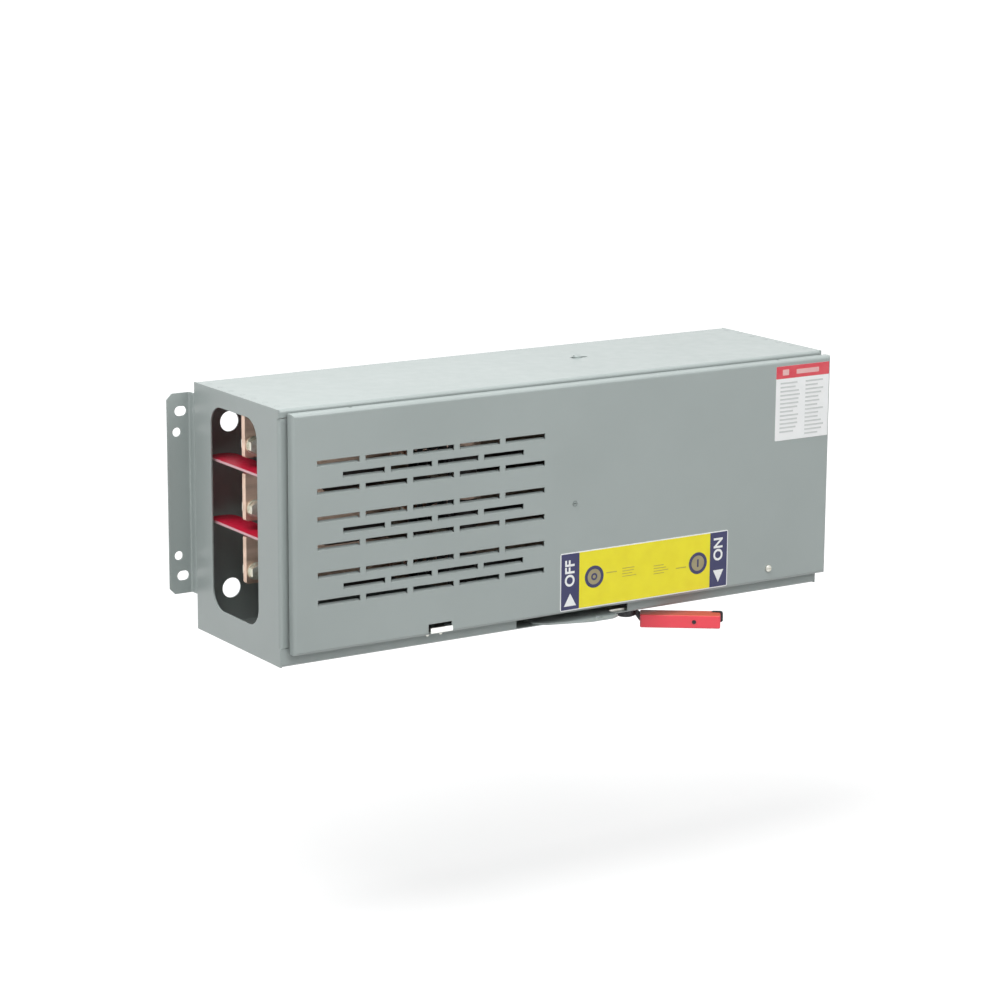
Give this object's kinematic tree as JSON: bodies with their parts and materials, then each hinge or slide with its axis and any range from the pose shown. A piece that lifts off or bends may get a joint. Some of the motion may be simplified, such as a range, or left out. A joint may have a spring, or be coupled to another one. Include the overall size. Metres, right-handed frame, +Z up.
{
  "type": "fusible disconnect unit",
  "caption": "Long sheet-steel fusible disconnect with ventilated hinged cover, end cable windows, phase barriers, rotor-mounted blades and a swinging handle below.",
  "frame": {"origin": "centre of the four outer mounting slots, on the mounting plane behind the enclosure", "axes": "+X along the unit from its line end to its load end, +Y into the panel it is mounted on, +Z up"},
  "size_m": [0.8474, 0.2758, 0.3321],
  "materials": {
    "painted_sheet": "satin baked enamel, light grey",
    "zinc_plated": "bright zinc plate",
    "dark_steel": "dark phosphated steel",
    "brass": "plain",
    "insulator": "moulded, dark brown",
    "fibre": "pressed fibre",
    "red_sheet": "crimson fibre sheet",
    "copper": "dull copper",
    "aluminium": "plain",
    "fuse_body": "paper laminate tube",
    "red_grip": "moulded, red"
  },
  "bodies": {
    "enclosure": {"enclosure_wrap": "painted_sheet", "left_end_wall": "painted_sheet", "right_end_wall": "painted_sheet", "mounting_bracket_left": "painted_sheet", "mounting_bracket_right": "painted_sheet", "padlock_plate": "painted_sheet", "top_bracket": "painted_sheet", "enclosure_rivets": "zinc_plated", "hinge_brackets": "zinc_plated", "top_screw": "zinc_plated", "base_standoffs": "zinc_plated", "line_bolts": "zinc_plated", "power_bolts": "zinc_plated", "rotor_bearing_lower": "zinc_plated", "rotor_bearing_upper": "zinc_plated", "guide_posts": "zinc_plated", "mechanism_frame": "zinc_plated", "lug_screws": "zinc_plated", "arc_plates": "dark_steel", "handle_bearing": "brass", "insulating_base": "insulator", "load_base": "insulator", "arc_chute_a": "fibre", "arc_chute_b": "fibre", "arc_chute_c": "fibre", "phase_barrier_lower": "red_sheet", "phase_barrier_upper": "red_sheet", "line_strap_a": "copper", "line_strap_b": "copper", "line_strap_c": "copper", "line_jaw_a": "copper", "line_jaw_b": "copper", "line_jaw_c": "copper", "hinge_contact_a": "copper", "hinge_contact_b": "copper", "hinge_contact_c": "copper", "load_straps": "copper", "fuse_blades": "copper", "load_lug_a": "aluminium", "load_lug_b": "aluminium", "load_lug_c": "aluminium", "fuse_a": "fuse_body", "fuse_b": "fuse_body", "fuse_c": "fuse_body"},
    "cover": {"cover": "painted_sheet", "hinge_pins": "zinc_plated", "cover_screw": "zinc_plated"},
    "latch": {"cover_latch": "zinc_plated"},
    "interlock": {"interlock_release": "zinc_plated"},
    "rotor": {"rotor_shaft": "insulator", "rotor_crank": "zinc_plated", "blade_a": "copper", "blade_b": "copper", "blade_c": "copper"},
    "drive": {"drive_bar": "zinc_plated"},
    "handle": {"handle_shaft": "zinc_plated", "handle_lever": "dark_steel", "handle_grip": "red_grip", "grip_rivet": "zinc_plated"}
  },
  "joints": [
    {"name": "cover_hinge", "type": "hinge", "parent": "enclosure", "child": "cover", "pos_m": [0, -0.23255, 0.1273], "axis": [-1, 0, 0], "range_deg": [0, 100]},
    {"name": "latch_lift", "type": "slide", "parent": "enclosure", "child": "latch", "axis": [0, 0, 1], "range_m": [0, 0.006], "stiffness_N_per_m": 150, "springref_m": -0.002},
    {"name": "interlock_turn", "type": "hinge", "parent": "cover", "child": "interlock", "pos_m": [0.0063, -0.23955, -0.0143], "axis": [0, -1, 0], "range_deg": [0, 90]},
    {"name": "handle_swing", "type": "hinge", "parent": "enclosure", "child": "handle", "pos_m": [0.1133, -0.19755, -0.1747], "axis": [0, 0, -1], "range_deg": [0, 109]},
    {"name": "drive_slide", "type": "slide", "parent": "enclosure", "child": "drive", "axis": [-1, 0, 0], "range_m": [0, 0.03256]},
    {"name": "rotor_turn", "type": "hinge", "parent": "enclosure", "child": "rotor", "pos_m": [-0.0937, -0.14655, -0.0667], "axis": [0, 0, 1], "range_deg": [0, 60]}
  ],
  "couplings": [
    {"joint": "drive_slide", "follows": "handle_swing", "m_per_rad": 0.017118},
    {"joint": "rotor_turn", "follows": "handle_swing", "ratio": 0.55046}
  ]
}
